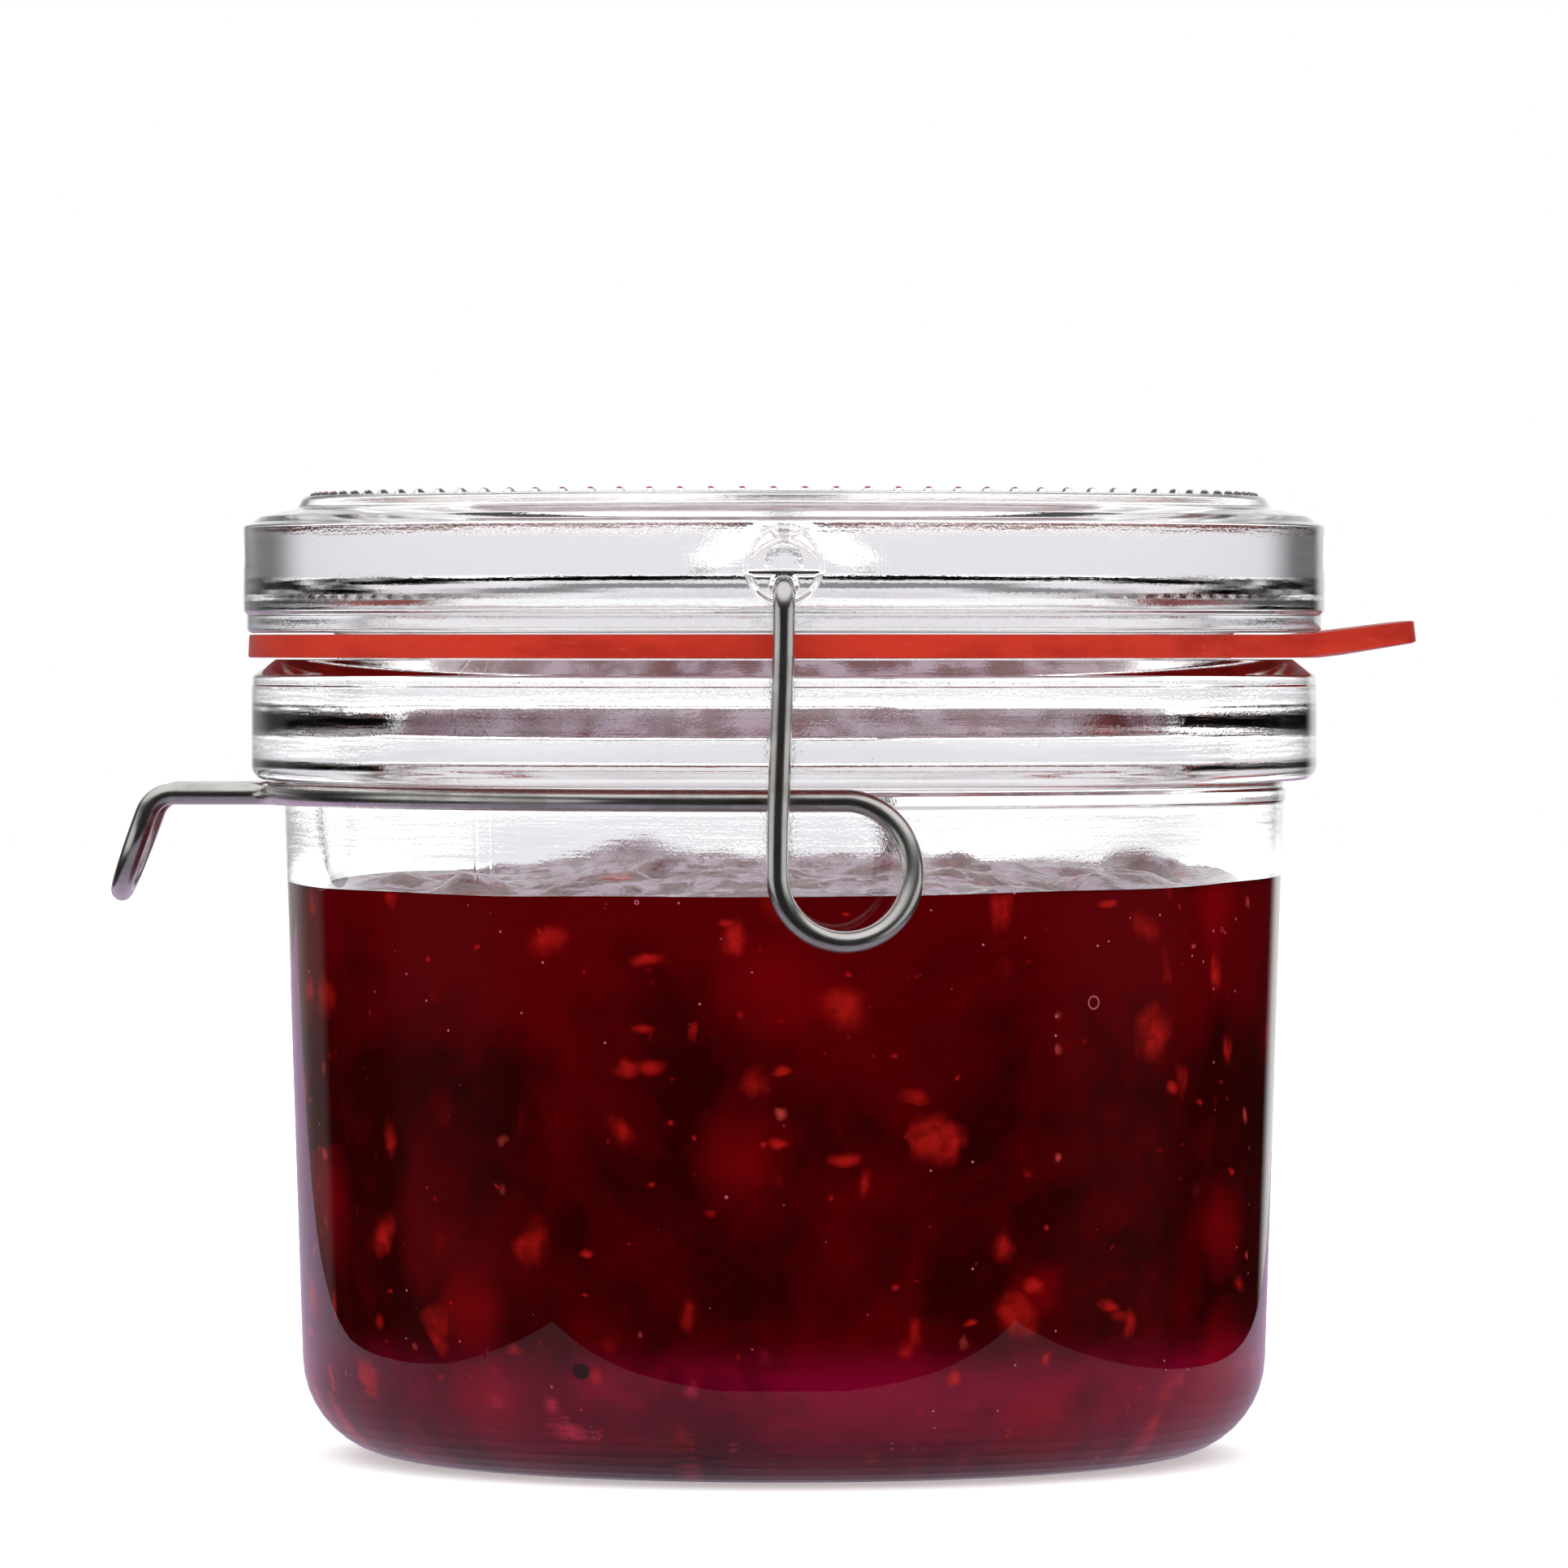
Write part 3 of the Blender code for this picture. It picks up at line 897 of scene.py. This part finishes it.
@dataclass
class Jam:
    """The jam: it wets the inside of the glass and has a lumpy, shining top."""

    jar: GlassJar
    level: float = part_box("jam_fill")[1][2] / MM - 0.5
    wet: float = 0.06
    tilt: float = 0.35
    heap: float = 1.6
    lean: float = 0.018
    flat_r: float = 30.0
    columns: int = 256

    def top(self, x: float, y: float) -> float:
        """Height of the jam's top.

        Args:
            x: place across.
            y: place from front to back.

        Returns:
            The height.
        """
        at = Vector((x, y, 0)) * MM
        r = math.hypot(x, y)
        waves = noise.noise(at * 45.0 + Vector((3.1, 0, 0))) * 0.9
        folds = noise.noise(at * 110.0) * 0.9 + abs(noise.noise(at * 240.0)) * 0.6
        from_wall = self.jar.inner_r(self.level) - r
        inland = soft(from_wall, 0.3, 7.0)
        heap = self.heap * soft(from_wall, 0.0, 30.0)
        lumps = 2.0 * soft(noise.noise(at * 62.0 + Vector((0, 0, 7.7))), 0.22, 0.50) * inland
        cling = 0.5 * math.exp(-from_wall / 1.2)
        still = self.level + self.tilt * x / 50 + self.lean * y + 0.4
        return still + waves * (0.35 + inland) + folds * inland * 1.3 + cling + heap + lumps

    def section(self) -> Outline:
        """Draw the jam from the middle of its top, out, and down the wall to the floor.

        Returns:
            The section.
        """
        wall = self.jar.inner_r(self.level) + self.wet
        return Outline([
            (0, self.level, 0),
            (wall, self.level, 0),
            (self.jar.inner_r(0) + self.wet, self.jar.floor - self.wet, self.jar.foot_round - 0.5),
            (0, self.jar.floor + 0.35 - self.wet, 0),
        ], longest=1.1)

    def build(self) -> Piece:
        """Make the jam with its two finishes: against the glass, and open to the air.

        Returns:
            The piece.
        """
        bm = self.section().turned(self.columns)
        face_up = [
            face for face in bm.faces
            if face.normal.z > 0.9 and face.calc_center_median().z > self.level * MM * 0.9]
        open_air = {vert for face in face_up for vert in face.verts}
        for face in face_up:
            face.material_index = 1
        for vert in bm.verts:
            if vert in open_air:
                vert.co.z = self.top(vert.co.x / MM, vert.co.y / MM) * MM
            if radius(vert.co) > self.flat_r:
                vert.co += self.jar.settle(vert.co)
        bm.normal_update()
        return place_piece("jam", bm, Body.JAR, "jam_fill", [JAM_AT_GLASS, JAM_TOP])


# Seal ring, lid and clip


@dataclass
class SealRing:
    """The flat rubber ring with its pull tab."""

    low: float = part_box("seal_ring")[0][2] / MM - 0.12
    outer_r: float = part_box("seal_ring")[1][1] / MM
    end_x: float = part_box("seal_ring")[1][0] / MM
    inner_r: float = 46.6
    thick: float = 2.34
    edge: float = 0.22
    stretch_r: float = 49.0
    tab_root: float = 20.5
    tab_end: float = 9.5
    fold_r: float = 55.0
    rise: float = math.radians(9.0)
    columns: int = 360

    def reach(self, angle: float) -> float:
        """Distance from the jar's axis to the ring's or the tab's edge.

        Args:
            angle: direction about the axis, 0 at the tab's middle.

        Returns:
            The distance.
        """
        if abs(angle) > math.radians(40):
            return self.outer_r
        root_x = math.sqrt(self.outer_r ** 2 - self.tab_root ** 2)
        run = self.end_x - root_x
        across = self.tab_root - self.tab_end
        ray = Vector((math.cos(angle), abs(math.sin(angle))))
        flank = (root_x * across + self.tab_root * run) / (ray.x * across + ray.y * run)
        end = self.end_x / ray.x
        blend = 2.0
        tab = -blend * math.log(math.exp(-flank / blend) + math.exp(-end / blend))
        sharp = 0.5
        return sharp * math.log(math.exp(tab / sharp) + math.exp(self.outer_r / sharp))

    def build(self) -> Piece:
        """Make the ring.

        Returns:
            The piece.
        """
        high = self.low + self.thick
        bm = Outline([
            (self.inner_r, self.low, self.edge),
            (self.outer_r, self.low, self.edge),
            (self.outer_r - 0.1, high, self.edge),
            (self.inner_r, high, self.edge),
        ], closed=True, longest=0.9).turned(self.columns)
        for vert in bm.verts:
            r = radius(vert.co)
            angle = math.atan2(vert.co.y, vert.co.x)
            share = min(max((r - self.stretch_r) / (self.outer_r - self.stretch_r), 0.0), 1.0)
            grown = (self.reach(angle) - self.outer_r) * share
            vert.co += outwards(vert.co) * grown * MM
        for vert in bm.verts:
            past = max(radius(vert.co) - self.fold_r, 0.0)
            eased = past * past / (past + 0.6)
            vert.co.z += eased * math.tan(self.rise) * 1.06 * MM
        return place_piece("seal_ring_rubber", bm, Body.GASKET, "seal_ring", [RUBBER])


@dataclass
class GlassLid:
    """The glass lid: plug, banded wall, stepped shoulder, beaded disc and two hooded sockets."""

    top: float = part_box("glass_lid")[1][2] / MM
    wall_r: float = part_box("glass_lid")[1][0] / MM
    seat: float = 84.0
    wall_height: float = 10.9
    foot_height: float = 1.8
    foot_in: float = 0.35
    ceiling: float = 5.6
    plug_r: float = 46.0
    plug_wall: float = 2.8
    plug_depth: float = 3.4
    disc_r: float = 49.5
    bead_r: float = 48.15
    bead_rise: float = 0.46
    beads: int = 98
    per_bead: int = 3
    boss_height: float = 6.4
    boss_r: float = 3.4
    boss_rise: float = 0.8
    pocket_depth: float = 1.1
    socket_height: float = 4.4
    socket_r: float = 1.35
    socket_depth: float = 4.6
    hood: float = 5.8

    def section(self) -> Outline:
        """Draw the lid from the middle of its hollow, round the plug, to the top's middle.

        Returns:
            The section.
        """
        seat = self.seat
        wall_top = seat + self.wall_height
        disc = self.top - 0.5
        hollow = self.plug_r - self.plug_wall
        plug_low = seat - self.plug_depth
        foot_r = self.wall_r - self.foot_in
        return Outline([
            (0, seat + self.ceiling + 0.4, 0),
            (hollow - 0.2, seat + self.ceiling, 4.4),
            (hollow + 0.2, plug_low, 1.0),
            (self.plug_r - 0.25, plug_low, 1.2),
            (self.plug_r, seat, 0.3),
            (foot_r, seat, 0.5),
            (foot_r, seat + self.foot_height, 0.35),
            (self.wall_r, seat + self.foot_height + 0.45, 0.3),
            (self.wall_r, wall_top, 0.25),
            (self.wall_r - 0.9, wall_top + 0.35, 0.4),
            (self.wall_r - 1.6, wall_top + 0.95, 0.5),
            (self.wall_r - 3.9, wall_top + 1.5, 1.5),
            (self.disc_r + 0.4, wall_top + 1.8, 0.4),
            (self.disc_r, disc - 0.35, 0.35),
            (self.disc_r - 0.35, disc, 0.25),
            (self.bead_r + 0.5, disc, 0),
            (self.bead_r - 0.5, disc, 0),
            (0, disc - 0.1, 0),
        ], longest=1.5, beside=0.06)

    def raise_beads(self, bm: Mesh) -> None:
        """Press a ring of small round beads up out of the disc's edge.

        Args:
            bm: the turned lid.
        """
        disc = (self.top - 0.5) * MM
        ring = []
        for face in bm.faces:
            middle = face.calc_center_median()
            off = radius(middle) - self.bead_r
            if abs(off) < 0.2 and abs(middle.z - disc) < 0.05 * MM:
                ring.append((math.atan2(middle.y, middle.x), face))
        ring.sort(key=lambda item: item[0])
        first = ring[0][0]
        edges = list(dict.fromkeys(
            edge for _, face in ring[::self.per_bead] for edge in face.edges))
        bmesh.ops.subdivide_edges(bm, edges=edges, cuts=4, use_grid_fill=True)
        pitch = math.tau / self.beads
        for vert in bm.verts:
            off = radius(vert.co) - self.bead_r
            if abs(off) > 0.55 or abs(vert.co.z - disc) > 0.05 * MM:
                continue
            turn = math.atan2(vert.co.y, vert.co.x) - first
            along = (turn - round(turn / pitch) * pitch) * self.bead_r
            share = math.hypot(off, along) / 0.5
            if share < 1:
                vert.co.z += self.bead_rise * math.sqrt(1 - share * share) * MM

    def hood_height(self, across: float, up: float) -> float:
        """How far the wall stands out at a socket.

        Args:
            across: millimetres from the socket's middle, along the wall.
            up: millimetres above the lid's seat.

        Returns:
            Millimetres beyond the plain wall; below 0 in the pocket and the socket.
        """
        off = math.hypot(across, up - self.boss_height) / self.boss_r
        dome = self.boss_rise * math.sqrt(max(0.0, 1 - off ** 3))
        fillet = 0.10 * math.exp(-((off - 1.02) / 0.10) ** 2)
        pocket = -self.pocket_depth * soft(off, 1.09, 1.0)
        hole = math.hypot(across, up - self.socket_height)
        socket = -self.socket_depth * soft(hole, self.socket_r + 0.1, self.socket_r - 0.15)
        above = soft(up, self.hood - 0.15, self.hood + 0.15)
        return max(dome, fillet) * above + min(pocket, socket) * (1 - above)

    def press_sockets(self, bm: Mesh) -> None:
        """Shape the hood, pocket and socket into the wall at front and back.

        Args:
            bm: the turned lid.
        """
        def near_socket(vert: bmesh.types.BMVert) -> bool:
            """Say whether a point is on the outer wall beside a socket.

            Args:
                vert: the point.

            Returns:
                True if it is.
            """
            up = vert.co.z / MM - self.seat
            on_wall = radius(vert.co) > self.wall_r - 0.02
            return on_wall and abs(vert.co.x) / MM < 5.2 and 2.2 < up < self.wall_height - 0.25

        zone = [edge for edge in bm.edges if all(near_socket(vert) for vert in edge.verts)]
        bmesh.ops.subdivide_edges(bm, edges=zone, cuts=7, use_grid_fill=True)
        for vert in bm.verts:
            r = radius(vert.co)
            up = vert.co.z / MM - self.seat
            beside = abs(vert.co.x) / MM > 5.3 or not 2.2 < up < self.wall_height - 0.2
            if beside or r < self.wall_r - 0.02:
                continue
            rise = self.hood_height(vert.co.x / MM, up)
            vert.co += outwards(vert.co) * (self.wall_r - r + rise) * MM

    def build(self) -> Piece:
        """Make the lid.

        Returns:
            The piece.
        """
        bm = self.section().turned(self.beads * self.per_bead)
        self.raise_beads(bm)
        self.press_sockets(bm)
        return place_piece("lid_glass_body", bm, Body.LID, "glass_lid", [LID_GLASS])


@dataclass
class WireClip:
    """The one-piece sprung wire: pins, upright legs, spring loops, arms and handle."""

    wire_r: float = 1.1
    pin_z: float = 88.4
    pin_y: float = 51.4
    pin_bend: float = 2.2
    leg_y: float = 57.9
    leg_x: float = -0.65
    loop_r: float = 6.6
    loop_drop: float = 7.1
    arm_z: float = 67.6
    arm_r: float = 52.6
    kink_bend: float = 3.0
    handle_half: float = 7.2
    handle_reach: float = 11.7
    handle_bend: float = 3.0
    handle_drop: float = 10.0
    handle_lean: float = math.radians(20.0)
    sides: int = 20

    @staticmethod
    def arc(
            centre: Sequence[float], bend_r: float, start: float, end: float, steps: int,
            ) -> list[tuple[float, float]]:
        """Points on an arc in a plane.

        Args:
            centre: the arc's centre.
            bend_r: its radius.
            start: its first angle in degrees.
            end: its last angle in degrees.
            steps: how many pieces it has.

        Returns:
            The points, ends included.
        """
        angles = [math.radians(start + (end - start) * i / steps) for i in range(steps + 1)]
        x, y = centre
        return [(x + bend_r * math.cos(a), y + bend_r * math.sin(a)) for a in angles]

    def loop(self) -> Route:
        """Bend the front spring loop, from the foot of the upright leg round to the arm.

        Returns:
            Its centre line.
        """
        centre_x = self.leg_x + self.loop_r
        centre_z = self.arm_z - self.loop_drop
        arm_y = math.sqrt(self.arm_r ** 2 - centre_x ** 2)
        quarter = 20
        points = []
        for i in range(3 * quarter + 1):
            angle = math.radians(180 + 90 * i / quarter)
            rise = self.loop_r if i <= 2 * quarter else self.loop_drop
            share = (1 - math.cos(math.pi * i / (3 * quarter))) / 2
            depth = self.leg_y + (arm_y - self.leg_y) * share
            x = centre_x + self.loop_r * math.cos(angle)
            points.append((x, -depth, centre_z + rise * math.sin(angle)))
        return points

    def front(self) -> Route:
        """Bend the wire from its front pin to the handle.

        Returns:
            Its centre line.
        """
        bend_centre = (self.leg_y - self.pin_bend, self.pin_z - self.pin_bend)
        points = [(0, -self.pin_y, self.pin_z), (0, 0.3 - bend_centre[0], self.pin_z)]
        points += [(0, -y, z) for y, z in self.arc(bend_centre, self.pin_bend, 90, 0, 10)]
        leg = points[-1]
        loop = self.loop()
        for i in range(1, 12):
            share = i / 12
            x = self.leg_x * soft(share, 0, 1)
            points.append((x, -self.leg_y, leg[2] + (loop[0][2] - leg[2]) * share))
        points += loop
        start = -math.degrees(math.asin((self.leg_x + self.loop_r) / self.arm_r))
        kink_r = self.arm_r + self.kink_bend
        end = math.degrees(math.acos((self.handle_half + self.kink_bend) / kink_r))
        sweep = self.arc((0, 0), self.arm_r, start, end, 60)[1:]
        points += [(-y, -x, self.arm_z) for x, y in sweep]
        kink_x = kink_r * math.sin(math.radians(end))
        kink_centre = (-kink_x, -self.handle_half - self.kink_bend)
        kink = self.arc(kink_centre, self.kink_bend, 90 - end, 90, 10)[1:]
        return points + [(x, y, self.arm_z) for x, y in kink]

    def handle(self) -> Route:
        """Bend the handle, from its front leg's bend round the U to its back leg's bend.

        Returns:
            Its centre line.
        """
        corner_x = -(self.arm_r + self.handle_reach)
        turn = 90 - math.degrees(self.handle_lean)
        back = self.handle_bend * math.tan(math.radians(turn / 2))
        centre = (corner_x + back, self.arm_z - self.handle_bend)
        bend = self.arc(centre, self.handle_bend, 90, 90 + turn, 10)
        down = Vector((-math.sin(self.handle_lean), 0, -math.cos(self.handle_lean)))
        length = self.handle_drop / math.cos(self.handle_lean)
        middle = Vector((corner_x, 0, self.arm_z)) + down * (length - self.handle_half)
        points = [(x, -self.handle_half, z) for x, z in bend]
        for across, drop in self.arc((0, 0), self.handle_half, 180, 360, 32):
            points.append(tuple(middle + Vector((0, across, 0)) - down * drop))
        return points + [(x, self.handle_half, z) for x, z in reversed(bend)]

    def tube(self, route: Sequence[Sequence[float]]) -> Mesh:
        """Sweep a round section along a route.

        Args:
            route: the centre line's points.

        Returns:
            A closed tube in metres, with each point's place along and round the wire kept in
            the along_wire attribute.
        """
        bm = bmesh.new()
        mark = bm.verts.layers.float_vector.new("along_wire")
        places = [Vector(point) * MM for point in route]
        ahead = [(b - a).normalized() for a, b in zip(places, places[1:])]
        ahead = [ahead[0]] + [(a + b).normalized() for a, b in zip(ahead, ahead[1:])] + [ahead[-1]]
        side = Vector((1, 0, 0))
        travelled = 0.0
        rims = []
        for i, (place, forward) in enumerate(zip(places, ahead)):
            side = (side - forward * side.dot(forward)).normalized()
            if i:
                travelled += (place - places[i - 1]).length
            facing = Matrix((side, forward.cross(side), forward)).transposed().to_4x4()
            made = bmesh.ops.create_circle(
                bm, cap_ends=i in (0, len(places) - 1), segments=self.sides,
                radius=self.wire_r * MM, matrix=Matrix.Translation(place) @ facing)["verts"]
            for n, vert in enumerate(made):
                turn = math.tau * n / self.sides
                around = Vector((math.cos(turn), math.sin(turn))) * self.wire_r * MM
                vert[mark] = (travelled, around.x, around.y)
            rims.append(list(dict.fromkeys(edge for vert in made for edge in vert.link_edges)))
        for rim, following in zip(rims, rims[1:]):
            bmesh.ops.bridge_loops(bm, edges=rim + following)
        bmesh.ops.bevel(
            bm, geom=rims[0] + rims[-1], offset=0.25 * MM, segments=2, profile=0.5,
            affect="EDGES", material=-1)
        bmesh.ops.recalc_face_normals(bm, faces=bm.faces)
        return bm

    def build(self) -> Piece:
        """Make the clip.

        Returns:
            The piece.
        """
        half = self.front()
        route = half + self.handle() + [(x, -y, z) for x, y, z in reversed(half)]
        bm = self.tube(route)
        return place_piece("wire_clip_steel", bm, Body.CLIP, "wire_clip", [STEEL])


# Studio


@dataclass
class Studio:
    """A plain pale floor, soft white light all round and the camera."""

    lens: float = 232.0
    distance: float = 1037.0
    camera_z: float = 83.1
    aim_z: float = 68.5
    floor_half: float = 3000.0
    table_half: float = 133.0
    table_front: float = -118.0
    table_back: float = 1300.0
    table_spread: float = 0.37

    def place_camera(self) -> None:
        """Set the camera in front of the jar, level with its seal ring."""
        data = bpy.data.cameras.new("camera")
        data.lens = self.lens
        data.sensor_width = 36.0
        data.clip_end = 100.0
        camera = bpy.data.objects.new("camera", data)
        camera.location = (0, -self.distance * MM, self.camera_z * MM)
        look = Vector((0, 0, self.aim_z * MM)) - camera.location
        camera.rotation_euler = look.to_track_quat("-Z", "Y").to_euler()
        bpy.context.scene.collection.objects.link(camera)
        bpy.context.scene.camera = camera

    @staticmethod
    def sheet(name: str, half: float, z: float, finish: Finish) -> Piece:
        """A flat staged sheet.

        Args:
            name: its name.
            half: half its side.
            z: its height.
            finish: its finish.

        Returns:
            The sheet.
        """
        bm = bmesh.new()
        place = Matrix.Translation((0, 0, z * MM))
        bmesh.ops.create_grid(bm, x_segments=8, y_segments=8, size=half * MM, matrix=place)
        sheet = link_mesh(name, bm, [finish])
        return sheet

    def lay_floor(self) -> None:
        """Lay the floor, and a small dark sheet of painted shade, seen only in the glass and the
        wire as the reflected table top.
        """
        floor = self.sheet("floor", self.floor_half, -0.2, PAPER)
        floor.visible_glossy = False
        # Painted shade: a dark sheet under the floor that only glossy rays see, standing in for
        # the shaded table top in the glass and the wire.
        table = self.sheet("table_shade_card", 1.0 / MM, -0.25, TABLE_SHADE)
        for vert in table.data.vertices:
            share = (vert.co.y + 1) / 2
            y = self.table_front + (self.table_back - self.table_front) * share ** 3
            spread = self.table_spread * max(y, 0.0) if vert.co.x < 0 else 0.0
            vert.co.x *= (self.table_half + spread) * MM
            vert.co.y = y * MM
        table.visible_camera = False
        table.visible_diffuse = False
        table.visible_transmission = False
        table.visible_shadow = False

    def light_air(self) -> None:
        """White light from all round, with dark walls where glass and steel look for them."""
        world = bpy.data.worlds.new("studio_air")
        world.use_nodes = True
        bpy.context.scene.world = world
        bench = Bench(world.node_tree, "Background")
        look = bench.add("ShaderNodeTexCoord", {}, {}, "Generated")
        x, y, z = (look.part(i) for i in range(3))
        azimuth = x.math("ARCTAN2", y) * (180 / math.pi)
        height = z.math("ARCSINE") * (180 / math.pi)
        overhead = height.step(22, 42)
        gap = height.step(34, 44) * height.step(89, 82) * y.step(-0.05, 0.10)
        sides = abs(abs(azimuth) - 95).step(26, 8) * height.step(-25, 0) * 0.03
        left = azimuth.step(-48, -42) * 0.13 + azimuth.step(-36, -20) * 0.27
        behind = (left + azimuth.step(-16, -6) * 0.6) * azimuth.step(27, 17)
        behind = behind * height.step(-12, -4)
        mirrored = behind.math("MAXIMUM", overhead).math("MAXIMUM", sides) * 0.995 + 0.005
        backdrop = abs(azimuth).step(62, 48) * height.step(56, 44)
        wings = abs(azimuth).step(74, 96) * abs(azimuth).step(150, 120) * 0.75
        above = overhead * (1 - gap * 0.85)
        through = backdrop.math("MAXIMUM", above).math("MAXIMUM", wings) * 0.80 + 0.20
        ray = bench.add("ShaderNodeLightPath", {}, {}, "Is Transmission Ray")
        glossy = ray.output("Is Glossy Ray") * (1 - ray)
        sharp = 1 + ray * (through - 1) + glossy * (mirrored - 1)
        lit = ray.output("Diffuse Depth").math("MINIMUM", 1.0)
        flood = height.step(-20, 70) * 0.8 + 1.1
        level = sharp * (1 - lit) + flood * lit
        tint = bench.mix((1.0, 1.0, 1.0), (0.850, 0.830, 0.870), ray * (1 - lit))
        bench.feed(Strength=level, Color=tint)

    def light_wire(self, wire: Piece) -> None:
        """Soft boxes left and right that only the wire shows.

        Args:
            wire: the clip.
        """
        shown_in = bpy.data.collections.new("wire_only")
        shown_in.objects.link(wire)
        for side in Side:
            data = bpy.data.lights.new(f"strip_{side.name.lower()}", "AREA")
            data.shape = "RECTANGLE"
            data.size = 0.55
            data.size_y = 1.2
            data.energy = 1.5
            box = bpy.data.objects.new(data.name, data)
            box.location = (side.value * 1.0, -0.35, 0.05)
            aim = Vector((0, 0, 0.07)) - box.location
            box.rotation_euler = aim.to_track_quat("-Z", "Z").to_euler()
            box.light_linking.receiver_collection = shown_in
            bpy.context.scene.collection.objects.link(box)

    def build(self, wire: Piece) -> None:
        """Set up camera, floor and light.

        Args:
            wire: the clip, which has two lights of its own.
        """
        self.light_wire(wire)
        bpy.context.scene.view_settings.view_transform = "Standard"
        self.place_camera()
        self.lay_floor()
        self.light_air()
        LOG.info("studio: lens %.0f mm at %.0f mm", self.lens, self.distance)


def main() -> None:
    """Build every piece of the jar and the studio."""
    logging.basicConfig(level=logging.INFO, format="%(name)s %(message)s")
    jar = GlassJar()
    makers: list[Callable[[], Piece]] = [
        jar.build, Jam(jar).build, SealRing().build, GlassLid().build, WireClip().build]
    pieces = [make() for make in makers]
    Studio().build(pieces[-1])


if __name__ == "__main__":
    main()
